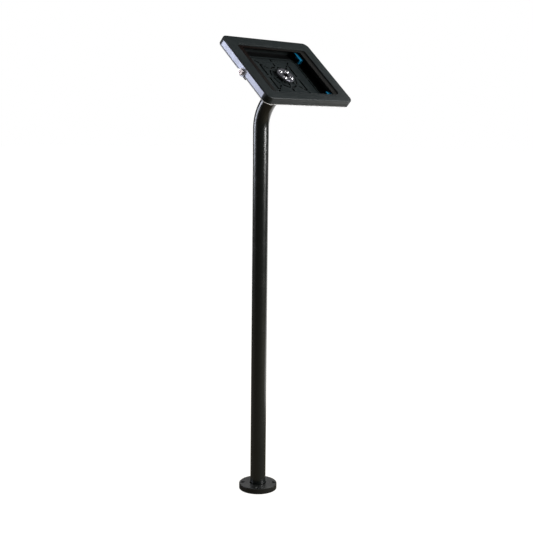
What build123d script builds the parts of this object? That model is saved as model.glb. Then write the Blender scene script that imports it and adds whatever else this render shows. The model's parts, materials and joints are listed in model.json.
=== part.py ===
from build123d import *
import os
from math import cos, radians, sin

# Locking tablet floor stand: a flange that bolts to the floor, a bent pole,
# and a lockable tablet case on its top. Millimetres, +Z up. The origin is the
# centre of the flange's underside. The case faces -Y and up, +X is its right.

os.makedirs("parts", exist_ok=True)

# Floor flange
BASE_DIA = 94.0
BASE_THICK = 13.5
BASE_EDGE = 1.2
BOLT_CIRCLE = 76.0
BOLT_HOLE = 7.0
BOLT_SINK_DIA = 12.0
BOLT_SINK_DEPTH = 2.5
CABLE_BORE = 32.0
SOCKET_FLOOR = 4.0
FOOT_WELD = 1.5

# Pole
POLE_DIA = 38.1
POLE_WALL = 2.0
POLE_STRAIGHT = 893.0
POLE_BEND_R = 90.0
CASE_TILT = 42.5
FACE_REACH = 100.8

# Case: depths are measured back from its front face plane
CASE_W = 281.0
CASE_H = 212.0
CORNER_R = 16.0
CASE_RISE = 2.0
PLATE_T = 2.5
FACE_EDGE_R = 2.2
SKIRT_T = 2.2
SEAM = 8.3
SEAM_GAP = 0.3
WALL_T = 2.5
WALL_END = 16.8
RIM_FLOOR = 14.3

# Window in the front frame and the mask behind it
WINDOW = (-110.0, 110.5, -82.0, 78.0)
WINDOW_R = 10.0
LIP_T = 1.6
LIP_DEPTH = 3.4
MASK_OUTER = (236.0, 176.0, 6.0)
MASK_WINDOW = (-95.0, 94.2, -79.3, 72.2)
MASK_T = 1.0

# Tray floor: a drafted pan with a raised, webbed panel in its middle
PAN_W = 243.0
PAN_H = 179.0
PAN_R = 14.0
PAN_SKIN = 2.5
PAN_FLOOR = 26.3
PAN_BACK = 28.8
PANEL_W = 168.0
PANEL_H = 136.0
PANEL_R = 18.0
PANEL_EDGE = 3.5
EDGE_RISE = 1.0
WEB_FLOOR = 24.5
DRAFT = 12.0
GROOVE_W = 5.0
GROOVE_DEPTH = 3.2
RIB_RISE = 1.0
RING_R = 35.0

# Hub that clamps the case to the pole's end
HUB_TOP = 15.5
HUB_R = 22.5
HUB_DISC_T = 4.0
HUB_HOLE_R = 8.0
HUB_BORE_R = 9.0
HUB_SCREW_PITCH = 20.6
HUB_SCREW_R = 2.5
HUB_HEAD_R = 4.75
HUB_HEAD_H = 2.7
NECK_R = 29.0
NECK_T = 5.0
SPIGOT_LENGTH = 14.0
NECK_WELD = 4.0

# Rear trim: a bright frame round the stepped pan
TRIM_T = 2.6
TRIM_RING_X = 14.0
TRIM_RING_Y = 12.0
TRIM_SCREW_R = 1.5
TRIM_HEAD_R = 2.8
TRIM_HEAD_H = 1.5

# Side strip and lock on the left side
STRIP_T = 2.9
STRIP_LOW = -86.8
STRIP_HIGH = 89.7
STRIP_TOP = 2.8
STRIP_END = 15.4
LOCK_Y = -3.2
LOCK_DEPTH = 15.0
EAR_R = 10.5
BARREL_R = 6.0
COLLAR_R = 8.4
COLLAR_T = 0.8
LOCK_HEAD_R = 7.6
LOCK_HEAD_LENGTH = 5.0
PLUG_R = 4.9
PLUG_HEAD_R = 5.8
PLUG_HEAD_T = 1.8
RUNNING_GAP = 0.05
CAM_X = -128.0
CAM_T = 2.0
CAM_REACH = 8.5
CAM_W = 6.0
CAM_HUB_R = 5.0
DRIVE = 6.0
POCKET = (-12.0, 15.0)
POCKET_FLOOR = 22.5
POCKET_BACK = 26.0
STRIKE_T = 1.6

# Hinges on the right side
HINGE_X = 144.2
HINGE_Y = 60.0
KNUCKLE_R = 3.25
KNUCKLE_MID = 16.0
KNUCKLE_END = 8.5
PIN_R = 1.5

# Tablet clips
UPPER_CLIP = (84.5, 50.0, 82.0)
LOWER_CLIP = (86.5, -61.0, -85.0)
CLIP_W = 10.0
CLIP_TOP = 10.5
CLIP_SHEET = 2.2
CLIP_LEG = 3.5
CLIP_WING = 11.0
CLIP_SEAT = 22.0

LEFT = -CASE_W / 2
RIGHT = CASE_W / 2
STRIP_BACK = LEFT + STRIP_T
WALL_BACK = LEFT + STRIP_T + WALL_T + 0.1
NECK_END = PAN_BACK + NECK_T
TRIM_END = WALL_END + TRIM_T
UP = (Align.CENTER, Align.CENTER, Align.MIN)

# The pole's end and the case plane, from the bend
tilt = radians(CASE_TILT)
normal = Vector(0, -sin(tilt), cos(tilt))
slope = Vector(0, cos(tilt), sin(tilt))
bend_start = Vector(0, 0, POLE_STRAIGHT)
bend_middle = Vector(
    0,
    -POLE_BEND_R * (1 - cos(tilt / 2)),
    POLE_STRAIGHT + POLE_BEND_R * sin(tilt / 2),
)
bend_end = Vector(
    0,
    -POLE_BEND_R * (1 - cos(tilt)),
    POLE_STRAIGHT + POLE_BEND_R * sin(tilt),
)
pole_end = bend_end + normal * (FACE_REACH - NECK_END)
face_centre = bend_end + normal * FACE_REACH + slope * CASE_RISE
CASE_PLANE = Plane(origin=face_centre, x_dir=(1, 0, 0), z_dir=normal)


def save(name, shape):
    export_step(shape, f"parts/{name}.step")


def save_case(name, shape):
    """Move a piece drawn in case coordinates to its place and write it."""
    save(name, CASE_PLANE.location * shape)


def slab(width, height, radius, near, far, x=0.0, y=0.0):
    """Rounded block between two depths behind the face plane."""
    outline = Pos(x, y, -far) * RectangleRounded(width, height, radius)
    return extrude(outline, amount=far - near)


def drafted(width, height, radius, near, far, draft=DRAFT):
    """Rounded block that is full size at its near end and narrows with depth."""
    shrink = 2 * (far - near) * sin(radians(draft)) / cos(radians(draft))
    outline = Pos(0, 0, -far) * RectangleRounded(
        width - shrink, height - shrink, radius - shrink / 2
    )
    return extrude(outline, amount=far - near, taper=-draft)


def box(x0, x1, y0, y1, near, far):
    """Square block given by its faces in case coordinates."""
    centre = Pos((x0 + x1) / 2, (y0 + y1) / 2, -far)
    return centre * Box(x1 - x0, y1 - y0, far - near, align=UP)


def rod(radius, near, far, x=0.0, y=0.0):
    """Cylinder along the face normal."""
    return Pos(x, y, -far) * Cylinder(radius, far - near, align=UP)


def rod_x(radius, x0, x1, y=LOCK_Y, depth=LOCK_DEPTH):
    """Cylinder along the case's width, on the lock's axis unless told."""
    return Pos(x0, y, -depth) * Rot(0, 90, 0) * Cylinder(radius, x1 - x0, align=UP)


def rod_y(radius, y0, y1, x, depth):
    """Cylinder along the case's height."""
    return Pos(x, y0, -depth) * Rot(-90, 0, 0) * Cylinder(radius, y1 - y0, align=UP)


def window(limits, radius, near, far):
    """Opening given by left, right, bottom and top."""
    x0, x1, y0, y1 = limits
    middle_x = (x0 + x1) / 2
    middle_y = (y0 + y1) / 2
    return slab(x1 - x0, y1 - y0, radius, near, far, middle_x, middle_y)


def hub_spots():
    """Centres of the four hub screws."""
    half = HUB_SCREW_PITCH / 2
    return [(sx * half, sy * half - CASE_RISE) for sx in (-1, 1) for sy in (-1, 1)]


def trim_spots():
    """Centres of the four trim screws."""
    return [(sx * 131.0, sy * 96.5) for sx in (-1, 1) for sy in (-1, 1)]


def base_flange():
    body = Cylinder(BASE_DIA / 2, BASE_THICK, align=UP)
    body = chamfer(body.edges().group_by(Axis.Z)[-1], BASE_EDGE)
    body -= Cylinder(CABLE_BORE / 2, BASE_THICK, align=UP)
    body -= Pos(0, 0, SOCKET_FLOOR) * Cylinder(POLE_DIA / 2, BASE_THICK, align=UP)
    sink = Cone(BOLT_HOLE / 2, BOLT_SINK_DIA / 2, BOLT_SINK_DEPTH, align=UP)
    for spot in PolarLocations(BOLT_CIRCLE / 2, 4, start_angle=45):
        body -= spot * Cylinder(BOLT_HOLE / 2, BASE_THICK, align=UP)
        body -= spot * Pos(0, 0, BASE_THICK - BOLT_SINK_DEPTH) * sink
    return body


def weld_ring(radius, leg):
    """Fillet weld round a tube: a triangle turned about the tube's axis."""
    corner = Polyline((radius, 0), (radius + leg, 0), (radius, leg), close=True)
    return revolve(Plane.XZ * make_face(corner), axis=Axis.Z)


def pole_tube():
    foot = Vector(0, 0, SOCKET_FLOOR)
    path = Line(foot, bend_start)
    path += ThreePointArc(bend_start, bend_middle, bend_end)
    path += Line(bend_end, pole_end)
    section = Circle(POLE_DIA / 2) - Circle(POLE_DIA / 2 - POLE_WALL)
    return sweep(Pos(0, 0, SOCKET_FLOOR) * section, path=path)


def neck_flange():
    body = rod(NECK_R, PAN_BACK, NECK_END, y=-CASE_RISE)
    spigot_r = POLE_DIA / 2 - POLE_WALL - RUNNING_GAP
    body += rod(spigot_r, NECK_END, NECK_END + SPIGOT_LENGTH, y=-CASE_RISE)
    body -= rod(HUB_BORE_R, PAN_BACK, NECK_END + SPIGOT_LENGTH, y=-CASE_RISE)
    for x, y in hub_spots():
        body -= rod(HUB_SCREW_R, PAN_BACK, NECK_END + 5.0, x, y)
    return body


def hub_disc():
    body = rod(HUB_R, HUB_TOP, HUB_TOP + HUB_DISC_T, y=-CASE_RISE)
    body -= rod(HUB_HOLE_R, HUB_TOP, HUB_TOP + HUB_DISC_T, y=-CASE_RISE)
    for x, y in hub_spots():
        body -= rod(HUB_SCREW_R + 0.1, HUB_TOP, HUB_TOP + HUB_DISC_T, x, y)
    return body


def hub_screws():
    """Four button-head screws."""
    screws = []
    for x, y in hub_spots():
        head = rod(HUB_HEAD_R, HUB_TOP - HUB_HEAD_H, HUB_TOP, x, y)
        screws.append(head + rod(HUB_SCREW_R - RUNNING_GAP, HUB_TOP, NECK_END + 2.0, x, y))
    return Compound(screws)


def panel_field(inset, near, far):
    """The panel's outline drawn in by a constant distance."""
    return slab(PANEL_W - 2 * inset, PANEL_H - 2 * inset, PANEL_R - inset, near, far)


def web_grooves():
    """Dashed lines sunk in the panel: straight ones, diagonals and a ring."""
    marks = Sketch()
    for y0, y1 in ((38.5, 48.5), (54, 64)):
        marks += Pos(0, (y0 + y1) / 2) * Rectangle(GROOVE_W, y1 - y0)
        marks += Pos(0, -(y0 + y1) / 2) * Rectangle(GROOVE_W, y1 - y0)
    for side in (-1, 1):
        for y0, y1 in ((4, 43), (-43, -4)):
            marks += Pos(side * 47.5, (y0 + y1) / 2) * Rectangle(GROOVE_W, y1 - y0)
    for angle in (45, 135, 225, 315):
        for reach, length in ((46.5, 12.0), (58.5, 7.0), (72.0, 12.0)):
            marks += Rot(0, 0, angle) * Pos(reach, 0) * Rectangle(length, 3.6)
    ring = Circle(RING_R + 2.0) - Circle(RING_R - 2.0)
    for angle in range(0, 180, 45):
        ring -= Rot(0, 0, angle) * Rectangle(3 * RING_R, 6.0)
    marks += ring
    return extrude(Pos(0, 0, -WEB_FLOOR - GROOVE_DEPTH) * marks, amount=GROOVE_DEPTH)


def web_ribs():
    """Raised lines on the panel: a cross rib and fine concentric steps."""
    ribs = []
    for side in (-1, 1):
        ribs.append(Pos(side * 60.5, -CASE_RISE) * Rectangle(45.0, 3.0))
        for y in (50.0, 57.0):
            ribs.append(Pos(side * (y / 2 + 3), y) * Rectangle(y - 14, 1.2))
            ribs.append(Pos(side * (y / 2 + 3), -y) * Rectangle(y - 14, 1.2))
    return [extrude(Pos(0, 0, -WEB_FLOOR - 0.4) * rib, amount=RIB_RISE + 0.4) for rib in ribs]


def web_gussets():
    """Radial plates that rise from the panel to the hub boss."""
    rise = WEB_FLOOR - HUB_TOP - HUB_DISC_T - 0.5
    profile = Polyline(
        (HUB_R - 3, rise),
        (RING_R - 3, 1.0),
        (RING_R - 3, -0.5),
        (HUB_R - 3, -0.5),
        close=True,
    )
    plate = extrude(Plane.XZ * make_face(profile), amount=0.9, both=True)
    spots = [Rot(0, 0, angle) for angle in range(0, 360, 45)]
    return [Pos(0, -CASE_RISE, -WEB_FLOOR) * spot * plate for spot in spots]


def knuckles(spans, near, far, bore):
    """Hinge barrels on the right wall with the webs that carry them."""
    body = Part()
    depth = SEAM + SEAM_GAP / 2
    for y0, y1 in spans:
        body += rod_y(KNUCKLE_R, y0, y1, HINGE_X, depth)
        body += box(RIGHT - 1.5, HINGE_X, y0, y1, near, far)
        body -= rod_y(bore, y0, y1, HINGE_X, depth)
    return body


def hinge_spans(inner):
    """Lengths of the middle barrels, or of the pairs at their ends."""
    spans = []
    half = KNUCKLE_MID / 2
    for centre in (-HINGE_Y, HINGE_Y):
        if inner:
            spans.append((centre - half, centre + half))
        else:
            for side in (-1, 1):
                a = centre + side * (half + SEAM_GAP)
                b = centre + side * (half + SEAM_GAP + KNUCKLE_END)
                spans.append((min(a, b), max(a, b)))
    return spans


def rear_tray():
    # Outer form: the wall and the drafted pan behind it
    top = SEAM + SEAM_GAP
    skin = 2 * PAN_SKIN
    body = slab(CASE_W, CASE_H, CORNER_R, top, WALL_END)
    body += drafted(PAN_W + skin, PAN_H + skin, PAN_R + PAN_SKIN, WALL_END, PAN_BACK)
    # Hollows: the tablet's bay and the pan
    inner_w = CASE_W - 2 * WALL_T
    inner_h = CASE_H - 2 * WALL_T
    body -= slab(inner_w, inner_h, CORNER_R - WALL_T, top, RIM_FLOOR)
    body -= drafted(PAN_W, PAN_H, PAN_R, RIM_FLOOR, PAN_FLOOR)
    # Raised panel with its edge, the groove beside it and its web
    body += slab(PANEL_W, PANEL_H, PANEL_R, WEB_FLOOR - EDGE_RISE, PAN_FLOOR)
    body -= panel_field(PANEL_EDGE, WEB_FLOOR - EDGE_RISE, WEB_FLOOR)
    groove = panel_field(PANEL_EDGE, WEB_FLOOR, WEB_FLOOR + 1.2)
    body -= groove - panel_field(PANEL_EDGE + 1.8, WEB_FLOOR, WEB_FLOOR + 1.2)
    body -= web_grooves()
    for rib in web_ribs():
        body += rib
    for gusset in web_gussets():
        body += gusset
    # Hub boss
    body += rod(HUB_R - 0.5, HUB_TOP + HUB_DISC_T, WEB_FLOOR + 0.5, y=-CASE_RISE)
    body -= rod(HUB_BORE_R, HUB_TOP + HUB_DISC_T, PAN_BACK, y=-CASE_RISE)
    for x, y in hub_spots():
        body -= rod(HUB_SCREW_R + 0.2, HUB_TOP, PAN_BACK, x, y)
    # Left wall, set back behind the strip, with the lock's pocket
    low = STRIP_LOW - 0.1
    high = STRIP_HIGH + 0.1
    y0 = LOCK_Y + POCKET[0]
    y1 = LOCK_Y + POCKET[1]
    body -= box(LEFT - 1, STRIP_BACK + 0.1, low, high, 0, STRIP_END + 0.1)
    body += box(STRIP_BACK + 0.1, WALL_BACK, low, high, STRIP_TOP + 0.3, WALL_END)
    body += rod_x(EAR_R, STRIP_BACK + 0.1, -131.0)
    body += box(-134.0, -112.0, y0 - 2, y1 + 2, RIM_FLOOR, POCKET_BACK)
    body -= rod_x(EAR_R + 0.1, LEFT - 1, STRIP_BACK + 0.1)
    body -= rod_x(9.0, WALL_BACK, -125.0)
    body -= box(-132.0, -114.0, y0, y1, 0, POCKET_FLOOR)
    body -= rod_x(BARREL_R + 0.2, LEFT, WALL_BACK)
    for y in (-60.0, 60.0):
        body -= rod_x(TRIM_SCREW_R, STRIP_BACK, WALL_BACK, y, 11.0)
    # Seats for the clips' legs
    for side in (-1, 1):
        x0, x1 = sorted((side * 84.0, side * 97.0))
        body += box(x0, x1, 49.0, 56.0, CLIP_SEAT, PAN_FLOOR)
        body += box(x0, x1, -86.0, -67.0, CLIP_SEAT, PAN_FLOOR)
    # Posts for the trim screws
    for x, y in trim_spots():
        body += rod(3.5, 10.5, RIM_FLOOR, x, y)
        body -= rod(TRIM_SCREW_R, 11.5, WALL_END, x, y)
    body += knuckles(hinge_spans(False), top, top + KNUCKLE_R, PIN_R)
    return body


def rear_trim():
    body = slab(CASE_W, CASE_H, CORNER_R, WALL_END, TRIM_END)
    body = chamfer(body.edges().group_by(Axis.Z)[0], 1.0)
    opening_w = CASE_W - 2 * TRIM_RING_X
    opening_h = CASE_H - 2 * TRIM_RING_Y
    body -= slab(opening_w, opening_h, 14.0, WALL_END, TRIM_END)
    y0 = LOCK_Y + POCKET[0] - 2.2
    y1 = LOCK_Y + POCKET[1] + 2.2
    body -= box(LEFT - 1, -110, y0, y1, WALL_END, TRIM_END)
    for x, y in trim_spots():
        body -= rod(TRIM_SCREW_R + 0.1, WALL_END, TRIM_END, x, y)
    return body


def trim_screws():
    screws = []
    for x, y in trim_spots():
        screw = rod(TRIM_HEAD_R, TRIM_END, TRIM_END + TRIM_HEAD_H, x, y)
        screw += rod(TRIM_SCREW_R - 0.02, 12.0, TRIM_END, x, y)
        screws.append(screw)
    return Compound(screws)


def side_strip():
    body = box(LEFT, STRIP_BACK, STRIP_LOW, STRIP_HIGH, STRIP_TOP, STRIP_END)
    body += rod_x(EAR_R, LEFT, STRIP_BACK)
    body -= rod_x(BARREL_R + RUNNING_GAP, LEFT, STRIP_BACK)
    for y in (-60.0, 60.0):
        body -= rod_x(TRIM_SCREW_R, LEFT + 1.0, STRIP_BACK, y, 11.0)
    return body


def strip_screws():
    screws = []
    for y in (-60.0, 60.0):
        screw = rod_x(TRIM_SCREW_R - 0.02, LEFT + 1.2, WALL_BACK, y, 11.0)
        screw += rod_x(TRIM_HEAD_R, WALL_BACK, WALL_BACK + TRIM_HEAD_H, y, 11.0)
        screws.append(screw)
    return Compound(screws)


def lock_barrel():
    face_x = LEFT - COLLAR_T - LOCK_HEAD_LENGTH
    body = rod_x(LOCK_HEAD_R, face_x, LEFT - COLLAR_T)
    body = chamfer(body.edges().group_by(Axis.X)[0], 0.8)
    body += rod_x(COLLAR_R, LEFT - COLLAR_T, LEFT)
    body += rod_x(BARREL_R, LEFT, CAM_X - 0.3)
    body -= rod_x(PLUG_R + RUNNING_GAP, face_x, CAM_X)
    seat_end = face_x + PLUG_HEAD_T + RUNNING_GAP
    body -= rod_x(PLUG_HEAD_R + RUNNING_GAP, face_x, seat_end)
    return body


def lock_washer():
    body = rod_x(8.2, WALL_BACK, WALL_BACK + 0.8)
    return body - rod_x(BARREL_R + 0.1, WALL_BACK, WALL_BACK + 0.8)


def lock_nut():
    start = WALL_BACK + 0.8
    hexagon = Pos(start, LOCK_Y, -LOCK_DEPTH) * Rot(0, 90, 0) * RegularPolygon(8.4, 6)
    body = extrude(hexagon, amount=3.0)
    return body - rod_x(BARREL_R + 0.02, start, start + 3.0)


def drive_square(x0, x1):
    """Square shank that carries the cam."""
    start = Pos(x0, LOCK_Y, -LOCK_DEPTH) * Rot(0, 90, 0)
    return start * Box(DRIVE, DRIVE, x1 - x0, align=UP)


def key_plug():
    face_x = LEFT - COLLAR_T - LOCK_HEAD_LENGTH
    body = rod_x(PLUG_HEAD_R, face_x, face_x + PLUG_HEAD_T)
    body += rod_x(PLUG_R, face_x + PLUG_HEAD_T, CAM_X)
    body += drive_square(CAM_X, CAM_X + CAM_T)
    top = LOCK_DEPTH - 3.5
    body -= box(face_x, face_x + 7.0, LOCK_Y - 0.9, LOCK_Y + 0.9, top, top + 7.0)
    return body - rod_x(1.6, CAM_X - 4.0, CAM_X + CAM_T)


def lock_cam():
    """Short tongue that points to the face when open."""
    hub = rod_x(CAM_HUB_R, CAM_X, CAM_X + CAM_T)
    half = CAM_W / 2
    tip = LOCK_DEPTH - CAM_REACH
    arm = box(CAM_X, CAM_X + CAM_T, LOCK_Y - half, LOCK_Y + half, tip, LOCK_DEPTH)
    arm &= rod_x(CAM_REACH, CAM_X, CAM_X + CAM_T)
    return hub + arm - drive_square(CAM_X, CAM_X + CAM_T)


def cam_screw():
    start = CAM_X + CAM_T
    return rod_x(4.2, start, start + 2.2) + rod_x(1.55, CAM_X - 3.5, start)


def front_frame():
    body = slab(CASE_W, CASE_H, CORNER_R, 0, SEAM)
    body = fillet(body.edges().group_by(Axis.Z)[-1], FACE_EDGE_R)
    inner_w = CASE_W - 2 * SKIRT_T
    inner_h = CASE_H - 2 * SKIRT_T
    body -= slab(inner_w, inner_h, CORNER_R - SKIRT_T, PLATE_T, SEAM)
    # The window's edge is folded back as a lip that carries the mask
    x0, x1, y0, y1 = WINDOW
    lip = (x0 - LIP_T, x1 + LIP_T, y0 - LIP_T, y1 + LIP_T)
    body += window(lip, WINDOW_R + LIP_T, PLATE_T, LIP_DEPTH)
    body -= window(WINDOW, WINDOW_R, 0, LIP_DEPTH)
    low = STRIP_LOW - 0.3
    high = STRIP_HIGH + 0.3
    body -= box(LEFT - 1, LEFT + 8, low, high, PLATE_T, SEAM)
    body += knuckles(
        hinge_spans(True), SEAM - KNUCKLE_R, SEAM + SEAM_GAP / 2, PIN_R + 0.06
    )
    return body


def window_mask():
    width, height, radius = MASK_OUTER
    near = LIP_DEPTH
    body = slab(width, height, radius, near, near + MASK_T, y=-CASE_RISE)
    return body - window(MASK_WINDOW, 3.0, near, near + MASK_T)


def lock_strike():
    """Bent steel hook under the frame that the cam's tongue slides over."""
    x0 = CAM_X - 1.0
    x1 = CAM_X + 9.0
    leg_y = LOCK_Y + CAM_REACH + 1.0
    foot_near = LOCK_DEPTH + CAM_W / 2 + 0.5
    foot_far = foot_near + STRIKE_T
    body = box(x0, x1, leg_y, leg_y + 17.0, PLATE_T, PLATE_T + STRIKE_T)
    body += box(x0, x1, leg_y, leg_y + 2.2, PLATE_T, foot_far)
    body += box(x0, x1, LOCK_Y + CAM_HUB_R + 1.0, leg_y + 2.2, foot_near, foot_far)
    return body


def hinge_pins():
    reach = KNUCKLE_MID / 2 + SEAM_GAP + KNUCKLE_END
    depth = SEAM + SEAM_GAP / 2
    pins = []
    for y in (-HINGE_Y, HINGE_Y):
        pins.append(rod_y(PIN_R, y - reach, y + reach, HINGE_X, depth))
    return Compound(pins)


def tablet_clip(side, limits, legs, wing):
    """Soft bracket for one corner: a lip on legs, with a wing if it has one."""
    inner, start, end = limits
    half = 1 if end > start else -1
    x0, x1 = sorted((side * inner, side * (inner + CLIP_W)))
    y0, y1 = sorted((start, end))
    body = box(x0, x1, y0, y1, CLIP_TOP, CLIP_TOP + CLIP_SHEET)
    for offset, foot in legs:
        a, b = sorted((start + half * offset, start + half * (offset + CLIP_LEG)))
        body += box(x0, x1, a, b, CLIP_TOP, foot)
    if wing:
        edge = inner + CLIP_W
        w0, w1 = sorted((side * (edge - 1), side * (edge + CLIP_WING)))
        body += box(w0, w1, y0, y1, CLIP_TOP + 1.0, CLIP_TOP + CLIP_SHEET)
    return body


save("base_flange", base_flange())
foot_weld = Pos(0, 0, BASE_THICK) * weld_ring(POLE_DIA / 2, FOOT_WELD)
save("foot_weld", foot_weld)
save("pole_tube", pole_tube())
neck_weld = Pos(0, -CASE_RISE, -NECK_END) * Rot(180, 0, 0) * weld_ring(POLE_DIA / 2, NECK_WELD)
save_case("neck_weld", neck_weld)
save_case("neck_flange", neck_flange())
save_case("hub_disc", hub_disc())
save_case("hub_screws", hub_screws())
save_case("rear_tray", rear_tray())
save_case("rear_trim", rear_trim())
save_case("trim_screws", trim_screws())
save_case("side_strip", side_strip())
save_case("strip_screws", strip_screws())
save_case("lock_barrel", lock_barrel())
save_case("lock_washer", lock_washer())
save_case("lock_nut", lock_nut())
save_case("key_plug", key_plug())
save_case("lock_cam", lock_cam())
save_case("cam_screw", cam_screw())
save_case("front_frame", front_frame())
save_case("window_mask", window_mask())
save_case("lock_strike", lock_strike())
save_case("hinge_pins", hinge_pins())
for name, side in (("right", 1), ("left", -1)):
    hook = CLIP_TOP + CLIP_SHEET + 4.5
    upper = tablet_clip(side, UPPER_CLIP, ((0.0, CLIP_SEAT), (14.5, hook)), False)
    lower = tablet_clip(side, LOWER_CLIP, ((7.0, CLIP_SEAT), (20.5, CLIP_SEAT)), True)
    save_case(f"clip_top_{name}", upper)
    save_case(f"clip_bottom_{name}", lower)
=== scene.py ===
# %% [markdown]
# # A locking tablet floor stand, dressed for a studio picture
#
# The stand is a bent steel tube on a bolted flange, with a tilted case on top
# that locks a tablet behind a window. Its solids come in as a fixed frame. This
# lesson gives them their finishes and swaps the pieces that a customer touches
# or looks at for finer surfaces, each worked out with numpy from a formula.

# %% Load the frame
import json
import bpy
import numpy as np
from math import cos, radians, sin
from mathutils import Matrix


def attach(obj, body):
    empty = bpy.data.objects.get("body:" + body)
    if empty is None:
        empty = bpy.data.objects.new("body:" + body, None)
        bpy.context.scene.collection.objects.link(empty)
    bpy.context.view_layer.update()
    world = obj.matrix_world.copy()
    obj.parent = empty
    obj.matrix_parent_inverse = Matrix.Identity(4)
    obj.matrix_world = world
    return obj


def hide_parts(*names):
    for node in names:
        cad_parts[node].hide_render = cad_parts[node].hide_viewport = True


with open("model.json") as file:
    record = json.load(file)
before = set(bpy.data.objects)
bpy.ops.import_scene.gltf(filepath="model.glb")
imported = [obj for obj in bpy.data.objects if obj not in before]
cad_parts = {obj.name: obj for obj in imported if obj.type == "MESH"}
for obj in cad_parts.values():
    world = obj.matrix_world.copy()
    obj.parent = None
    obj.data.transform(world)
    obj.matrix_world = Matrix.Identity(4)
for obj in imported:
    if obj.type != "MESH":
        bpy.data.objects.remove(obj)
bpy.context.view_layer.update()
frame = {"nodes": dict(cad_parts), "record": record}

# %% [markdown]
# ## The camera
#
# The photographer stood to the stand's front left, a little above the bend, and
# tipped the camera down by a few degrees, so that head and foot both stay in the
# picture. A long lens from two metres away keeps the pole's sides nearly
# parallel. The lens is shifted by a fiftieth of the picture and no more.

# %% Place the camera
azimuth, dip, roll = radians(-44.754), radians(7.597), radians(0.556)
level = np.array([-sin(azimuth), cos(azimuth), 0.0])
across = np.array([cos(azimuth), sin(azimuth), 0.0])
upright = np.array([0.0, 0.0, 1.0])
ahead = level * cos(dip) - upright * sin(dip)
top = level * sin(dip) + upright * cos(dip)
right = across * cos(roll) + top * sin(roll)
top = -across * sin(roll) + top * cos(roll)

eye = (-1.57508, -1.61174, 0.88737)
lens = bpy.data.cameras.new("studio_lens")
lens.lens = 63.173
lens.sensor_width = 36.0
lens.shift_y = -0.02
camera = bpy.data.objects.new("studio_camera", lens)
turn = Matrix(np.column_stack([right, top, -ahead]).tolist()).to_4x4()
camera.matrix_world = Matrix.Translation(eye) @ turn
bpy.context.collection.objects.link(camera)
bpy.context.scene.camera = camera
print("camera looks along", np.round(ahead, 3))

# %% [markdown]
# ## Case coordinates
#
# The case lies on a plane tipped 42.5 degrees. Every case piece is drawn with x
# across, y up the face and depth straight back from the face, in millimetres,
# and one function carries whole arrays of such points into the room.

# %% Sizes that several pieces share
TILT = radians(42.5)
FACE_X = np.array([1.0, 0.0, 0.0])
FACE_Y = np.array([0.0, cos(TILT), sin(TILT)])
FACE_OUT = np.array([0.0, -sin(TILT), cos(TILT)])
# The pole, the way on from its bend to the case's face, and the case's centre
# above the pole's line
BEND_R, STRAIGHT, REACH, CASE_RISE = 90.0, 893.0, 100.8, 2.0
bend_end = np.array([0.0, -BEND_R * (1 - cos(TILT)), STRAIGHT + BEND_R * sin(TILT)])
FACE_CENTRE = bend_end + FACE_OUT * REACH + FACE_Y * CASE_RISE
CASE_W, CASE_H, CORNER_R = 281.0, 212.0, 16.0


def on_case(x, y, depth):
    """Room point in metres = centre + x across + y up the face - depth outwards."""
    x, y, depth = np.broadcast_arrays(x, y, depth)
    room = (
        FACE_CENTRE
        + x[..., None] * FACE_X
        + y[..., None] * FACE_Y
        - depth[..., None] * FACE_OUT
    )
    return room / 1000.0


print("case centre", np.round(on_case(0.0, 0.0, 0.0), 4))

# %% [markdown]
# ## From a grid of points to a mesh
#
# A surface is a grid of points, one row per step along it and one column per
# step round it. Neighbours make a four-sided face. Where the grid runs into a
# pole or meets itself, points fall together, so they are merged and the faces
# lose the corner they no longer need. The signed volume says which way the
# faces point: it is negative when the surface is inside out.


# %% Grid to mesh
def surface(name, grids, sharp=35.0):
    """Mesh from grids of points.

    Each face joins (i, j), (i+1, j), (i+1, j+1) and (i, j+1). Points nearer than
    a micrometre are one. Volume = sum of a . (b x c) / 6 over a fan of each face.
    """
    points, quads, start = [], [], 0
    for grid in grids:
        rows, columns = grid.shape[:2]
        index = start + np.arange(rows * columns).reshape(rows, columns)
        corners = [index[:-1, :-1], index[1:, :-1], index[1:, 1:], index[:-1, 1:]]
        quads.append(np.stack(corners, -1).reshape(-1, 4))
        points.append(grid.reshape(-1, 3))
        start += rows * columns
    points = np.concatenate(points)
    quads = np.concatenate(quads)
    _, first, same = np.unique(
        np.round(points, 6), axis=0, return_index=True, return_inverse=True
    )
    points, quads = points[first], same.ravel()[quads]
    keep = quads != np.roll(quads, -1, axis=1)
    good = keep.sum(1) > 2
    quads, keep = quads[good], keep[good]
    fan = points[quads] - points.mean(0)
    triple = np.cross(fan[:, 1], fan[:, 2]) * fan[:, 0]
    triple += np.cross(fan[:, 2], fan[:, 3]) * fan[:, 0]
    volume = triple.sum() / 6
    if volume < 0:
        quads = quads[:, ::-1]
        keep = quads != np.roll(quads, -1, axis=1)
    mesh = bpy.data.meshes.new(name)
    mesh.vertices.add(len(points))
    mesh.vertices.foreach_set("co", points.ravel())
    loops = quads[keep]
    sizes = keep.sum(1)
    mesh.loops.add(len(loops))
    mesh.loops.foreach_set("vertex_index", loops)
    mesh.polygons.add(len(quads))
    mesh.polygons.foreach_set("loop_start", np.cumsum(sizes) - sizes)
    mesh.update(calc_edges=True)
    mesh.validate()
    mesh.polygons.foreach_set("use_smooth", np.ones(len(mesh.polygons), bool))
    mesh.set_sharp_from_angle(angle=radians(sharp))
    print(name, len(mesh.polygons), "faces,", round(abs(volume) * 1e6, 2), "cm3")
    return mesh


def piece(name, grids, finish, body, nodes=(), sharp=35.0):
    """A piece at the origin, in its finish, that rides on a body."""
    mesh = surface(name, grids, sharp)
    obj = bpy.data.objects.new(name, mesh)
    bpy.context.collection.objects.link(obj)
    mesh.materials.append(finish)
    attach(obj, body)
    if nodes:
        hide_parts(*nodes)
    return obj


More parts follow.
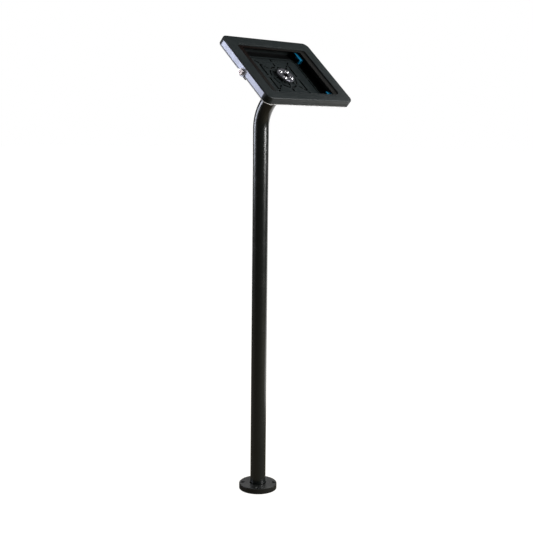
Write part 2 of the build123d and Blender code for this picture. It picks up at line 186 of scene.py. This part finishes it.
# %% [markdown]
# ## Finishes
#
# Powder coat, moulded plastic and brushed metal differ mostly in how their tiny
# bumps spread a highlight. Each finish here starts from a Principled shader and
# adds noise of the real bump's size, so no finish is one flat colour. Noise is
# read in Object coordinates, which stay put when a piece moves.


# %% A helper for finishes
def finish(name, colour, rough, metal=0.0, specular=0.5):
    """Principled material, its node tree and shader, and its Object coordinates."""
    material = bpy.data.materials.new(name)
    material.use_nodes = True
    tree = material.node_tree
    shader = tree.nodes["Principled BSDF"]
    shader.inputs["Base Color"].default_value = (*colour, 1.0)
    shader.inputs["Roughness"].default_value = rough
    shader.inputs["Metallic"].default_value = metal
    shader.inputs["Specular IOR Level"].default_value = specular
    place = tree.nodes.new("ShaderNodeTexCoord")
    print("finish", name, "colour", colour, "roughness", rough)
    return material, tree, shader, place.outputs["Object"]


def grain(tree, place, per_metre, stretch=(1, 1, 1), detail=3.0):
    """Noise of so many bumps per metre, squeezed along the axes by stretch."""
    mapping = tree.nodes.new("ShaderNodeMapping")
    mapping.inputs["Scale"].default_value = stretch
    noise = tree.nodes.new("ShaderNodeTexNoise")
    noise.inputs["Scale"].default_value = per_metre
    noise.inputs["Detail"].default_value = detail
    tree.links.new(place, mapping.inputs["Vector"])
    tree.links.new(mapping.outputs["Vector"], noise.inputs["Vector"])
    return noise.outputs["Fac"]


# Most values of a noise lie in this span
NOISE_SPAN = (0.3, 0.7)
RANGE_SOCKETS = ("From Min", "From Max", "To Min", "To Max")


def remap(tree, value, ends, levels, curve="LINEAR"):
    """Level 0 where value is end 0, level 1 where it is end 1, and a line between.

    The curve SMOOTHSTEP eases the line at both ends.
    """
    node = tree.nodes.new("ShaderNodeMapRange")
    node.interpolation_type = curve
    for name, number in zip(RANGE_SOCKETS, (*ends, *levels)):
        node.inputs[name].default_value = number
    tree.links.new(value, node.inputs["Value"])
    return node.outputs["Result"]


def along(tree, vector, direction):
    """Dot product of a vector socket with a fixed direction."""
    node = tree.nodes.new("ShaderNodeVectorMath")
    node.operation = "DOT_PRODUCT"
    node.inputs[1].default_value = [float(part) for part in direction]
    tree.links.new(vector, node.inputs[0])
    return node.outputs["Value"]


def spread(tree, value, low, high, target):
    """A noise is stretched to low..high and fed to a socket."""
    tree.links.new(remap(tree, value, NOISE_SPAN, (low, high)), target)


def blotch(tree, value, dark, light, target):
    """A noise blends from one colour to the other."""
    blend = tree.nodes.new("ShaderNodeValToRGB")
    for element, position, colour in zip(blend.color_ramp.elements, NOISE_SPAN, (dark, light)):
        element.position = position
        element.color = (*colour, 1.0)
    tree.links.new(value, blend.inputs["Fac"])
    tree.links.new(blend.outputs["Color"], target)


def relief(tree, value, shader, height, strength=1.0):
    """Bump of a real height in metres."""
    bump = tree.nodes.new("ShaderNodeBump")
    bump.inputs["Strength"].default_value = strength
    bump.inputs["Distance"].default_value = height
    tree.links.new(value, bump.inputs["Height"])
    tree.links.new(bump.outputs["Normal"], shader.inputs["Normal"])


# %% [markdown]
# ### Powder coat
#
# The pole's coat is a powder that was baked into a thin hard skin with a satin
# shine. A picture of such a coat could be wrapped round the tube, but it would
# show a seam, and noise has none. The flange wears a slightly rougher coat. The
# foot weld's coat is rougher still and barely shiny, and its colour is painted
# darker, as shade in the corner where it sits.

# %% Powder coat for the pole and neck
coat, tree, shader, place = finish(
    "satin_powder_coat", (0.005, 0.0065, 0.006), 0.25, specular=0.78
)
relief(tree, grain(tree, place, 900.0), shader, 0.00003, 0.3)
spread(tree, grain(tree, place, 30.0), 0.22, 0.28, shader.inputs["Roughness"])
blotch(
    tree,
    grain(tree, place, 14.0),
    (0.0035, 0.0052, 0.005),
    (0.0055, 0.0078, 0.0074),
    shader.inputs["Base Color"],
)

# %% A smoother coat on the flange, and a matt one with painted shade for the weld
flange_coat, tree, shader, place = finish(
    "flange_coat", (0.0085, 0.0095, 0.0085), 0.4, specular=0.45
)
spread(tree, grain(tree, place, 30.0), 0.36, 0.44, shader.inputs["Roughness"])
# Painted shade: the weld's colour is darker than the pole's coat, for the shade in its corner
weld_coat_painted_shade, tree, shader, place = finish(
    "weld_coat_painted_shade", (0.002, 0.0023, 0.0022), 0.8, specular=0.05
)
relief(tree, grain(tree, place, 500.0), shader, 0.00006, 0.3)

# %% [markdown]
# ### Moulded plastic
#
# The case is black plastic with a fine grain from its mould. Deep in the tray,
# in the grooves and below the web, shade is painted into the tray's plastic: its
# colour is darkened there, beyond what the light alone casts. How deep a point
# lies is its dot product with the direction into the case.

# %% Moulded plastic for the case
case_black, tree, shader, place = finish(
    "moulded_case_black", (0.011, 0.015, 0.0155), 0.45, specular=0.3
)
relief(tree, grain(tree, place, 1400.0), shader, 0.0001, 0.3)
spread(tree, grain(tree, place, 45.0), 0.4, 0.5, shader.inputs["Roughness"])
blotch(
    tree,
    grain(tree, place, 20.0),
    (0.009, 0.0128, 0.0132),
    (0.0132, 0.0172, 0.0178),
    shader.inputs["Base Color"],
)

# %% The same plastic, with shade painted into the tray's grooves and below its web
# Depths where the painted shade begins and ends, and how dark it gets
WEB_LEVEL, GROOVE_LEVEL, PAINTED_GROOVE_SHADE = 0.02465, 0.0251, 0.05
tray_black = case_black.copy()
tray_black.name = "moulded_tray_painted_shade"
tree = tray_black.node_tree
shader = tree.nodes["Principled BSDF"]
shader.inputs["Specular IOR Level"].default_value = 0.2
inward = along(tree, tree.nodes["Texture Coordinate"].outputs["Object"], -FACE_OUT)
face_level = float(-(FACE_CENTRE @ FACE_OUT)) / 1000.0
groove_ends = (face_level + WEB_LEVEL, face_level + GROOVE_LEVEL)
tone = shader.inputs["Base Color"].links[0].from_socket
# Painted shade: the plastic's colour is scaled down with depth below the web
painted_shade_scale = tree.nodes.new("ShaderNodeVectorMath")
painted_shade_scale.operation = "SCALE"
tree.links.new(tone, painted_shade_scale.inputs[0])
tree.links.new(remap(tree, inward, groove_ends, (1.0, PAINTED_GROOVE_SHADE)), painted_shade_scale.inputs["Scale"])
tree.links.new(painted_shade_scale.outputs["Vector"], shader.inputs["Base Color"])
print("finish", tray_black.name, "tone below the web", PAINTED_GROOVE_SHADE)

# %% [markdown]
# ### The window's mask
#
# A thin matt sheet hides the edge of the screen. Towards its upper left, where
# the frame's lip shades it, shade tinted brown is painted in, so two colours are
# blended along one direction across it. The direction is slanted, because the
# painted shade runs from corner to corner.

# %% Dark sheet for the mask
mask_dark, tree, shader, place = finish(
    "mask_sheet", (0.011, 0.0105, 0.0095), 0.7, specular=0.06
)
spread(tree, grain(tree, place, 60.0), 0.62, 0.78, shader.inputs["Roughness"])
# Painted shade, tinted brown: the sheet darkens towards its upper left
lip_shade_ramp = along(tree, place, 4.5 * FACE_X - 5.0 * FACE_Y)
blotch(
    tree,
    remap(tree, lip_shade_ramp, (-4.0, -3.2), NOISE_SPAN),
    (0.0045, 0.0012, 0.0006),
    (0.0105, 0.0105, 0.0098),
    shader.inputs["Base Color"],
)
relief(tree, grain(tree, place, 2000.0), shader, 0.00005, 0.3)

# %% [markdown]
# ### Bright metals and the white ring
#
# The strip on the case's left side is anodised metal. Its noise is squeezed in x
# and drawn out in the other two directions, which lie in the strip. The ring
# behind the case is painted white. Lock, hub disc, screws and plug are bare
# metals, which differ in tint and in how sharply they mirror the room.

# %% Anodised metal for the side strip
strip_metal, tree, shader, place = finish(
    "anodised_strip", (0.565, 0.588, 0.706), 0.4, metal=0.25
)
lines = grain(tree, place, 260.0, stretch=(6, 0.12, 0.12), detail=2.0)
relief(tree, lines, shader, 0.00002, 0.1)
spread(tree, lines, 0.36, 0.44, shader.inputs["Roughness"])

# %% White painted ring behind the case
white_trim, tree, shader, place = finish("white_trim", (0.72, 0.72, 0.74), 0.4)
relief(tree, grain(tree, place, 1200.0), shader, 0.00008, 0.3)
spread(tree, grain(tree, place, 50.0), 0.35, 0.45, shader.inputs["Roughness"])

# %% Chrome, bright steel and brass
chrome, tree, shader, place = finish("lock_chrome", (0.6, 0.57, 0.59), 0.1, metal=1.0)
spread(tree, grain(tree, place, 300.0), 0.08, 0.16, shader.inputs["Roughness"])

steel, tree, shader, place = finish("turned_steel", (0.15, 0.15, 0.17), 0.42, metal=0.8)
spread(tree, grain(tree, place, 400.0), 0.36, 0.46, shader.inputs["Roughness"])
relief(tree, grain(tree, place, 3000.0), shader, 0.00003, 0.2)

screw_steel, tree, shader, place = finish(
    "bright_zinc", (0.76, 0.75, 0.78), 0.2, metal=1.0
)
spread(tree, grain(tree, place, 500.0), 0.15, 0.28, shader.inputs["Roughness"])

brass, tree, shader, place = finish(
    "washed_brass", (0.42, 0.37, 0.365), 0.15, metal=1.0
)
spread(tree, grain(tree, place, 500.0), 0.12, 0.18, shader.inputs["Roughness"])

# %% [markdown]
# ### Clips, and the finish of each solid
#
# The four corner clips are blue plastic with a soft shine, and blotches a
# centimetre or two wide keep them from one flat colour. The record that came with
# the solids names a material for each, so a table from those names to the
# finishes dresses them all. Three solids have a finish of their own.

# %% Soft plastic for the tablet clips
clip_teal, tree, shader, place = finish(
    "clip_teal", (0.003, 0.13, 0.26), 0.45, specular=0.35
)
relief(tree, grain(tree, place, 1500.0), shader, 0.00006, 0.3)
blotch(
    tree,
    grain(tree, place, 60.0),
    (0.002, 0.11, 0.22),
    (0.004, 0.155, 0.30),
    shader.inputs["Base Color"],
)

# %% Give every solid its finish
FINISHES = {
    "black_steel": coat,
    "case_black": case_black,
    "mask_dark": mask_dark,
    "bright_trim": strip_metal,
    "lock_chrome": chrome,
    "steel_bare": steel,
    "fastener_steel": screw_steel,
    "clip_teal": clip_teal,
    "plug_brass": brass,
}
OWN_FINISH = {"rear_tray": tray_black, "rear_trim": white_trim, "base_flange": flange_coat}
slots = {part["node"]: part["material_slot"] for part in frame["record"]["subparts"]}
for node, obj in frame["nodes"].items():
    for holder in obj.material_slots:
        holder.link = "OBJECT"
        holder.material = OWN_FINISH.get(node, FINISHES[slots[node]])
print(len(slots), "solids have a finish")

# %% [markdown]
# ## The pole
#
# A mandrel bender draws the tube round a former, so the bend is one smooth arc
# and the wall stays round. The same idea makes the surface: a circle is carried
# along the centre line, always square to it. The inner wall is the same sweep
# with a smaller circle, and the two ends close the sheet.


# %% The pole's centre line and its sweep
def pole_line(reach):
    """Centre line: up, then an arc of radius 90 mm, then straight along the tilt."""
    arc = BEND_R * TILT
    s = np.asarray(reach)
    turn = np.clip((s - STRAIGHT) / BEND_R, 0.0, TILT)
    rest = np.maximum(s - STRAIGHT - arc, 0.0)
    y = -BEND_R * (1 - np.cos(turn)) - rest * sin(TILT)
    z = np.minimum(s, STRAIGHT) + BEND_R * np.sin(turn) + rest * cos(TILT)
    ahead = np.stack([0 * turn, -np.sin(turn), np.cos(turn)], -1)
    return np.stack([0 * y, y, z], -1), ahead


def pole_skin(radius, reach, around=96):
    """Circle of that radius carried along the line: centre + r (cos a X + sin a N)."""
    centre, ahead = pole_line(reach)
    side = np.array([1.0, 0.0, 0.0])
    other = np.cross(ahead, side)
    a = np.linspace(0, 2 * np.pi, around + 1)[None, :, None]
    ring = np.cos(a) * side + np.sin(a) * other[:, None, :]
    return (centre[:, None, :] + radius * ring) / 1000.0


POLE_R, POLE_WALL, SOCKET_FLOOR = 19.05, 2.0, 4.0
# Where the pole ends, behind the case's face
NECK_DEPTH = 33.8
POLE_END = STRAIGHT + BEND_R * TILT + REACH - NECK_DEPTH
reach = np.concatenate(
    [
        np.linspace(SOCKET_FLOOR, STRAIGHT, 40),
        np.linspace(STRAIGHT, STRAIGHT + BEND_R * TILT, 30)[1:],
        np.linspace(STRAIGHT + BEND_R * TILT, POLE_END, 5)[1:],
    ]
)
outer = pole_skin(POLE_R, reach)
inner = pole_skin(POLE_R - POLE_WALL, reach[::-1])
pole_tube = np.concatenate([outer, inner, outer[:1]])
piece("pole_sweep", [pole_tube], coat, "stand", ["pole_tube"])


# %% [markdown]
# ## Welds
#
# The pole is welded into the flange. A hand-laid bead is a chain of small
# overlapping puddles, so the bead's radius pulses as it goes round.


# %% Weld beads
def bead(centre, axis, side, ring_r, size, puddles=46):
    """Bead round a tube: a quarter round of size s (1 - 0.12 |cos(p a / 2)|)."""
    a = np.linspace(0, 2 * np.pi, 8 * puddles + 1)
    b = np.array([0.0, 0.0, 0.14, 0.35, 0.55, 0.75, 0.92, 1.0, 1.0]) * np.pi / 2
    swell = 1 - 0.12 * np.abs(np.cos(puddles * a / 2))
    out = ring_r + size * swell[None] * np.sin(b)[:, None]
    rise = size * swell[None] * np.cos(b)[:, None]
    out[0], rise[0] = ring_r, 0.0
    out[-1], rise[-1] = ring_r, 0.0
    other = np.cross(axis, side)
    ring = np.cos(a)[:, None] * side + np.sin(a)[:, None] * other
    grid = centre + out[..., None] * ring[None] + rise[..., None] * axis
    return grid / 1000.0


BASE_THICK, FOOT_BEAD, NECK_BEAD = 13.5, 1.5, 4.0
foot = bead(BASE_THICK * upright, upright, FACE_X, POLE_R, FOOT_BEAD)
piece("foot_bead", [foot], weld_coat_painted_shade, "stand", ["foot_weld"], 60.0)
neck_centre = bend_end + FACE_OUT * (REACH - NECK_DEPTH)
neck = bead(neck_centre, -FACE_OUT, FACE_X, POLE_R, NECK_BEAD)
piece("neck_bead", [neck], coat, "stand", ["neck_weld"], 60.0)

# %% [markdown]
# ## The front frame
#
# The frame is one moulded part: a flat face, a skirt that turns back round its
# edge, and a lip that turns back round the window. Its section is drawn once
# and carried round two outlines at a time, the case's outside and the window's
# edge, both with the same number of points. On the left the skirt stops, to
# make room for the bright strip, so there the section's depth jumps.


# %% Rounded outlines
CORNER_POINTS = 12


def outline(x0, x1, y0, y1, radius, bend=CORNER_POINTS):
    """Rounded rectangle, counter-clockwise from the upper end of its right side.

    Corner k is centre + r (cos a, sin a), with a from k to k + 1 quarter turns.
    Each straight side has both its ends and its middle, so a step fits there.
    """
    corners = []
    for k, (x, y) in enumerate(((x1, y1), (x0, y1), (x0, y0), (x1, y0))):
        a = (k + np.linspace(0, 1, bend)) * np.pi / 2
        centre = np.array([x, y]) - radius * np.sign([x - x0 - 1e-9, y - y0 - 1e-9])
        corners.append(centre + radius * np.stack([np.cos(a), np.sin(a)], -1))
    rows = []
    for here, there in zip(corners, corners[1:] + corners[:1]):
        rows += [here, here[-1:], (here[-1:] + there[:1]) / 2, there[:1]]
    return np.concatenate(rows + [corners[0][:1]])


def rounded(radius, steps):
    """Offsets (in, back) along a rounded edge: r (1 - cos a), r (1 - sin a)."""
    a = np.linspace(0, np.pi / 2, steps)
    return np.stack([radius * (1 - np.cos(a)), radius * (1 - np.sin(a))], -1)


# %% The frame's section, carried round
PLATE_T, SKIRT_T, SEAM, LIP_T, LIP_DEPTH = 2.5, 2.2, 8.3, 1.6, 3.4
FACE_EDGE_R, WINDOW_EDGE_R = 2.2, 0.6
WINDOW, WINDOW_R = (-110.0, 110.5, -82.0, 78.0), 10.0
STRIP_LOW = -87.1
# A corner and the side after it have three more points than the corner's arc.
# The left side's are the last three of the second such stretch.
STRETCH = CORNER_POINTS + 3
LEFT_TOP, LEFT_MIDDLE, LEFT_LOW = 2 * STRETCH - 3, 2 * STRETCH - 2, 2 * STRETCH - 1


def case_ring(inset, depth):
    """The case's outline moved in by inset, at one depth or one per column.

    Two points of the left side move to the strip's lower end, where the skirt steps.
    """
    w, h = CASE_W / 2 - inset, CASE_H / 2 - inset
    flat = outline(-w, w, -h, h, CORNER_R - inset)
    flat[[LEFT_MIDDLE, LEFT_LOW], 1] = STRIP_LOW
    return on_case(flat[:, 0], flat[:, 1], depth)


def window_ring(outset, depth):
    """The window's outline moved out by outset, at one depth."""
    x0, x1, y0, y1 = WINDOW
    flat = outline(x0 - outset, x1 + outset, y0 - outset, y1 + outset, WINDOW_R + outset)
    return on_case(flat[:, 0], flat[:, 1], depth)


skirt_end = np.full(4 * STRETCH + 1, SEAM)
skirt_end[[LEFT_TOP, LEFT_MIDDLE]] = PLATE_T
rows = [case_ring(SKIRT_T, skirt_end), case_ring(0.0, skirt_end)]
rows += [case_ring(inset, depth) for inset, depth in rounded(FACE_EDGE_R, 9)]
rows += [window_ring(outset, depth) for depth, outset in rounded(WINDOW_EDGE_R, 5)[::-1]]
rows += [window_ring(0.0, LIP_DEPTH), window_ring(LIP_T, LIP_DEPTH)]
rows += [window_ring(LIP_T, PLATE_T), case_ring(SKIRT_T, PLATE_T), rows[0]]
face = piece(
    "frame_face", [np.stack(rows)], case_black, "frame", ["front_frame"]
)


# %% [markdown]
# ## Edges of moulded and folded parts
#
# No real edge is perfectly sharp: a tenth of a millimetre of radius catches the
# light as a thin line. A Bevel modifier cut by angle gives every hard edge that
# line and leaves smooth surfaces alone. Solids from the frame come as loose
# triangles, so a Weld joins them first.


# %% A fine radius on hard edges
def soften(obj, width, weld=False, steps=2):
    """Radius of width millimetres on every edge sharper than 40 degrees."""
    if weld:
        join = obj.modifiers.new("join", "WELD")
        join.merge_threshold = 1e-6
    edge = obj.modifiers.new("edge_radius", "BEVEL")
    edge.width = width / 1000.0
    edge.segments = steps
    edge.limit_method = "ANGLE"
    edge.angle_limit = radians(40)
    edge.miter_outer = "MITER_ARC"
    edge.harden_normals = False
    print(obj.name, "edge radius", width, "mm")


soften(face, 0.25)
for node in ("clip_top_right", "clip_bottom_right", "clip_top_left", "clip_bottom_left"):
    soften(frame["nodes"][node], 0.4, weld=True)
for node in ("side_strip", "rear_trim", "window_mask", "neck_flange"):
    soften(frame["nodes"][node], 0.2, weld=True)


# %% [markdown]
# ## Hinge knuckles
#
# Two knuckles on the frame turn between pairs on the tray, on steel pins. A
# knuckle is an eye with a foot: its section is a rectangle that runs into a
# circle, with the pin's hole through it, pushed out along the hinge line.


# %% Knuckles
HINGE_X, HINGE_Y, HINGE_DEPTH = 144.2, 60.0, 8.45
KNUCKLE_R, KNUCKLE_HALF, KNUCKLE_BORE, FOOT_X = 3.25, 8.0, 1.56, 139.2


def knuckle(y0, y1, bore):
    """Four loops, inner and outer at both ends, closed into a tube of that section.

    Outer loop: foot from FOOT_X, then circle c + r (cos a, sin a) over the side
    away from the case. Inner loop: the pin's hole at the same steps.
    """
    a = np.linspace(-np.pi / 2, np.pi / 2, 25)
    round_x = HINGE_X + KNUCKLE_R * np.cos(a)
    x = np.concatenate([[FOOT_X], round_x, [HINGE_X - KNUCKLE_R, FOOT_X, FOOT_X]])
    up = np.concatenate([[KNUCKLE_R], -KNUCKLE_R * np.sin(a), [0.0, 0.0, KNUCKLE_R]])
    b = np.pi * np.concatenate([[0.72], np.linspace(0.5, -0.5, 25), [-0.8, -1.0, -1.28]])
    hole_x, hole_up = HINGE_X + bore * np.cos(b), bore * np.sin(b)
    loops = []
    for y, px, pu in ((y0, hole_x, hole_up), (y0, x, up), (y1, x, up), (y1, hole_x, hole_up)):
        loops.append(on_case(px, y, HINGE_DEPTH - pu))
    return np.stack(loops + loops[:1])


turning = [
    knuckle(y - KNUCKLE_HALF, y + KNUCKLE_HALF, KNUCKLE_BORE)
    for y in (-HINGE_Y, HINGE_Y)
]
eyes = piece(
    "frame_knuckles", turning, case_black, "frame", ["front_frame"]
)
soften(eyes, 0.2)

# %% [markdown]
# ## The lock
#
# A cam lock's head is turned from brass and chromed: a flat collar that sits on
# the strip and a head with a rounded rim. Anything turned is a section carried
# round an axis, so one lathe function serves the lock and the hub, and the
# screws are carried round the same way in a function of their own.


# %% A lathe
def turned(section, base, axis, side, around=64):
    """Section (radius, height) turned: base + h axis + r (cos a side + sin a up)."""
    r, h = np.array(section, float).T
    up = np.cross(axis, side)
    a = np.linspace(0, 2 * np.pi, around + 1)
    ring = np.cos(a)[:, None] * side + np.sin(a)[:, None] * up
    grid = base + h[:, None, None] * axis + r[:, None, None] * ring[None]
    return grid / 1000.0


def round_off(r, h, size, steps=5):
    """Rounded corner at (r, h), up the side and then in over the top.

    Point at angle b = (r - size (1 - cos b), h - size (1 - sin b)).
    """
    a = np.linspace(0, np.pi / 2, steps)
    return [(r - size * (1 - np.cos(b)), h - size * (1 - np.sin(b))) for b in a]


def case_spot(x, y, depth):
    """One case point as a base for the lathe, in millimetres."""
    return FACE_CENTRE + x * FACE_X + y * FACE_Y - depth * FACE_OUT


# %% Lock housing
LOCK_Y, LOCK_DEPTH = -3.2, 15.0
BARREL_R, BARREL_IN, COLLAR_R, COLLAR_T = 6.0, -12.2, 8.4, 0.8
HEAD_R, HEAD_OUT = 7.6, 5.8
BORE_R, SEAT_R, SEAT_FLOOR = 4.95, 5.85, 3.95
HEAD_LIP = HEAD_OUT - 0.2
lock_base = case_spot(-CASE_W / 2, LOCK_Y, LOCK_DEPTH)
section = [(BORE_R, BARREL_IN), (BARREL_R, BARREL_IN), (BARREL_R, 0.0), (COLLAR_R, 0.0)]
section += round_off(COLLAR_R, COLLAR_T, 0.3)
section += [(HEAD_R + 0.2, COLLAR_T), (HEAD_R, COLLAR_T + 0.2)]
section += round_off(HEAD_R, HEAD_OUT, 0.9)
section += [(SEAT_R + 0.45, HEAD_OUT), (SEAT_R + 0.25, HEAD_LIP), (SEAT_R, HEAD_LIP)]
section += [(SEAT_R, SEAT_FLOOR), (BORE_R, SEAT_FLOOR), (BORE_R, BARREL_IN)]
housing = turned(section, lock_base, -FACE_X, FACE_Y)
piece("lock_housing", [housing], chrome, "stand", ["lock_barrel"], 30.0)

# %% [markdown]
# ## The hub and its screws
#
# Four button-head screws clamp the case to the pole through a steel disc. A
# button head is a low dome with a six-sided socket. The dome falls by a power of
# the radius, slowly near the middle and quickly at the rim. The socket's wall
# lies where the radius equals a hexagon's, which in polar form is the flat's
# distance over the cosine of the angle from the flat.

# %% Hub disc
HUB_R, HUB_BORE, HUB_T, HUB_FLOOR = 22.5, 8.0, 4.0, 19.5
hub_base = case_spot(0.0, -CASE_RISE, HUB_FLOOR)
section = [(HUB_BORE, 0.0), (HUB_R, 0.0), (HUB_R, HUB_T - 0.6)]
section += [(HUB_R - 0.6, HUB_T), (HUB_R - 1.2, HUB_T)]
section += [(HUB_BORE + 0.4, HUB_T), (HUB_BORE, HUB_T - 0.4), (HUB_BORE, 0.0)]
disc = turned(section, hub_base, FACE_OUT, FACE_X, 96)
piece("hub_plate", [disc], steel, "stand", ["hub_disc"], 25.0)


# %% Button-head screws
SCREW_SPACING, SHANK_R, SHANK_END = 10.3, 2.45, -20.3


def button(x, y, head_r=4.75, rise=2.7, flat=1.5, deep=1.6, around=72):
    """Dome h = rise (1 - 0.8 (r / R)^2.4) with a hexagonal socket.

    Socket radius = flat / cos(a - nearest flat), with a drilled point 0.5 deeper
    and an edge 0.15 wide. The shank is a cylinder.
    """
    a = np.linspace(0, 2 * np.pi, around + 1)
    facet = np.mod(a, np.pi / 3) - np.pi / 6
    hexagon = flat / np.cos(facet)
    one = np.ones_like(a)

    def dome(r):
        return rise * (1 - 0.8 * (r / head_r) ** 2.4)

    rows = [(0 * one, (rise - deep - 0.5) * one), (hexagon, (rise - deep) * one)]
    rows += [(hexagon, dome(hexagon) - 0.15), (hexagon + 0.15, dome(hexagon + 0.15))]
    for t in np.linspace(0, 1, 9)[1:]:
        r = (hexagon + 0.15) * (1 - t) + head_r * t
        rows.append((r, dome(r)))
    shank = [(head_r, 0.0), (SHANK_R, 0.0), (SHANK_R, SHANK_END), (0.0, SHANK_END)]
    rows += [(r * one, h * one) for r, h in shank]
    r = np.stack([row[0] for row in rows])
    h = np.stack([row[1] for row in rows])
    ring = np.cos(a)[:, None] * FACE_X + np.sin(a)[:, None] * FACE_Y
    base = case_spot(x, y, HUB_FLOOR - HUB_T)
    return (base + h[..., None] * FACE_OUT + r[..., None] * ring[None]) / 1000.0


heads = [
    button(across_hub * SCREW_SPACING, up_hub * SCREW_SPACING - CASE_RISE)
    for across_hub in (-1, 1)
    for up_hub in (-1, 1)
]
piece("hub_buttons", heads, screw_steel, "stand", ["hub_screws"], 30.0)

# %% [markdown]
# ## Floor, backdrop and light
#
# The stand is shown on a plain white sweep. The floor and the room brighten for
# the camera only, so the light on the stand stays plain, and the stand keeps its
# soft shadow. Gloss needs something to mirror. A photographer lays white paper
# to one side, hangs a white sheet behind, and leaves the rest of the room dark,
# so a shiny edge shows a clear line between the two. A second sheet, a card that
# hangs to the left, is there for the bright strip on the case's left side. Here
# the floor's mirrored level depends on the place on the floor, and the room's on
# the direction.

# %% A light level that depends on who looks
ROOM_LEVEL, FLOOR_GLOW, DARK = 0.3, 0.98, 0.05
PAPER_LEVEL, CARD_LEVEL = 1.4, 1.3


def brightness(tree, shown, plain, mirrored):
    """Level shown to the camera and through glass, mirrored in metal, plain elsewhere."""
    path = tree.nodes.new("ShaderNodeLightPath")
    seen = tree.nodes.new("ShaderNodeMath")
    seen.operation = "MAXIMUM"
    tree.links.new(path.outputs["Is Camera Ray"], seen.inputs[0])
    tree.links.new(path.outputs["Is Transmission Ray"], seen.inputs[1])
    gloss = tree.nodes.new("ShaderNodeMix")
    gloss.inputs["A"].default_value = plain
    tree.links.new(path.outputs["Is Glossy Ray"], gloss.inputs["Factor"])
    tree.links.new(mirrored, gloss.inputs["B"])
    total = tree.nodes.new("ShaderNodeMix")
    total.inputs["B"].default_value = shown
    tree.links.new(seen.outputs[0], total.inputs["Factor"])
    tree.links.new(gloss.outputs["Result"], total.inputs["A"])
    return total.outputs["Result"]


# %% Floor
FLOOR_HALF, FLOOR_TOP = 40.0, -0.0005
floor_mesh = bpy.data.meshes.new("studio_floor")
signs = ((-1, -1), (1, -1), (1, 1), (-1, 1))
corners = [(x * FLOOR_HALF, y * FLOOR_HALF, FLOOR_TOP) for x, y in signs]
floor_mesh.from_pydata(corners, [], [(0, 1, 2, 3)])
floor = bpy.data.objects.new("studio_floor", floor_mesh)
bpy.context.collection.objects.link(floor)
paper = bpy.data.materials.new("white_paper")
paper.use_nodes = True
tree = paper.node_tree
shader = tree.nodes["Principled BSDF"]
shader.inputs["Base Color"].default_value = (0.15, 0.125, 0.08, 1)
shader.inputs["Roughness"].default_value = 0.9
glow = tree.nodes.new("ShaderNodeEmission")
glow.inputs["Color"].default_value = (1, 1, 1, 1)
spot = tree.nodes.new("ShaderNodeTexCoord").outputs["Object"]
split = tree.nodes.new("ShaderNodeSeparateXYZ")
tree.links.new(spot, split.inputs["Vector"])
near = remap(tree, split.outputs["Y"], (-0.9, -0.45), (0.0, PAPER_LEVEL), "SMOOTHSTEP")
lit = remap(tree, split.outputs["X"], (0.55, 0.85), (0.0, 1.0), "SMOOTHSTEP")
sheet = tree.nodes.new("ShaderNodeMath")
sheet.operation = "MULTIPLY"
tree.links.new(near, sheet.inputs[0])
tree.links.new(lit, sheet.inputs[1])
paper_light = brightness(tree, FLOOR_GLOW, 0.0, sheet.outputs[0])
tree.links.new(paper_light, glow.inputs["Strength"])
both = tree.nodes.new("ShaderNodeAddShader")
tree.links.new(shader.outputs[0], both.inputs[0])
tree.links.new(glow.outputs[0], both.inputs[1])
tree.links.new(both.outputs[0], tree.nodes["Material Output"].inputs["Surface"])
floor_mesh.materials.append(paper)
print("floor", 2 * FLOOR_HALF, "m wide, shown at", FLOOR_GLOW)

# %% Room light
world = bpy.data.worlds.new("studio_room")
bpy.context.scene.world = world
world.use_nodes = True
tree = world.node_tree
room = tree.nodes["Background"]
room.inputs["Color"].default_value = (1, 1, 1, 1)
way = tree.nodes.new("ShaderNodeTexCoord").outputs["Generated"]
backdrop = remap(tree, along(tree, way, level), (0.83, 0.99), (DARK, 1.0), "SMOOTHSTEP")
leftward = along(tree, way, (-0.68, 0.73, 0.05))
card = remap(tree, leftward, (0.92, 0.97), (0.0, CARD_LEVEL), "SMOOTHSTEP")
sheets = tree.nodes.new("ShaderNodeMath")
sheets.operation = "ADD"
tree.links.new(backdrop, sheets.inputs[0])
tree.links.new(card, sheets.inputs[1])
room_light = brightness(tree, 1.0, ROOM_LEVEL, sheets.outputs[0])
tree.links.new(room_light, room.inputs["Strength"])
print("room level", ROOM_LEVEL, "mirrored from", DARK, "to", 1.0 + CARD_LEVEL)


# %% [markdown]
# ## Lamps
#
# Soft boxes are lit rectangles. A wide one gives a broad highlight with soft
# edges, and where it stands decides where the highlight runs down the pole. The
# one on the right is the key light. The other three lift the sides and the top.

# %% Soft boxes
def soft_box(name, place, aim, width, height, power, colour=(1, 1, 1)):
    """Rectangular lamp at place that faces aim."""
    lamp = bpy.data.lights.new(name, "AREA")
    lamp.shape = "RECTANGLE"
    lamp.size = width
    lamp.size_y = height
    lamp.energy = power
    lamp.color = colour
    obj = bpy.data.objects.new(name, lamp)
    way = np.array(aim, float) - np.array(place, float)
    way /= np.linalg.norm(way)
    side = np.cross(way, upright)
    side /= np.linalg.norm(side)
    over = np.cross(side, way)
    spin = Matrix(np.column_stack([side, over, -way]).tolist()).to_4x4()
    obj.matrix_world = Matrix.Translation(place) @ spin
    bpy.context.collection.objects.link(obj)
    print(name, power, "W")


soft_box("left_panel", (-1.38, 1.95, 1.2), (0, 0, 0.95), 0.65, 0.9, 18, (0.80, 0.85, 1.0))
soft_box("right_panel", (1.1, -2.33, 1.42), (0, 0, 0.95), 1.0, 0.9, 90)
soft_box("side_panel", (2.4, -0.7, 2.1), (0, 0, 1.0), 1.2, 1.2, 16)
soft_box("top_panel", (-0.5, 0.4, 3.2), (0, 0, 0.9), 1.6, 1.6, 14)

# %% Colours as written
view = bpy.context.scene.view_settings
view.view_transform = "Standard"
print("view transform", view.view_transform)
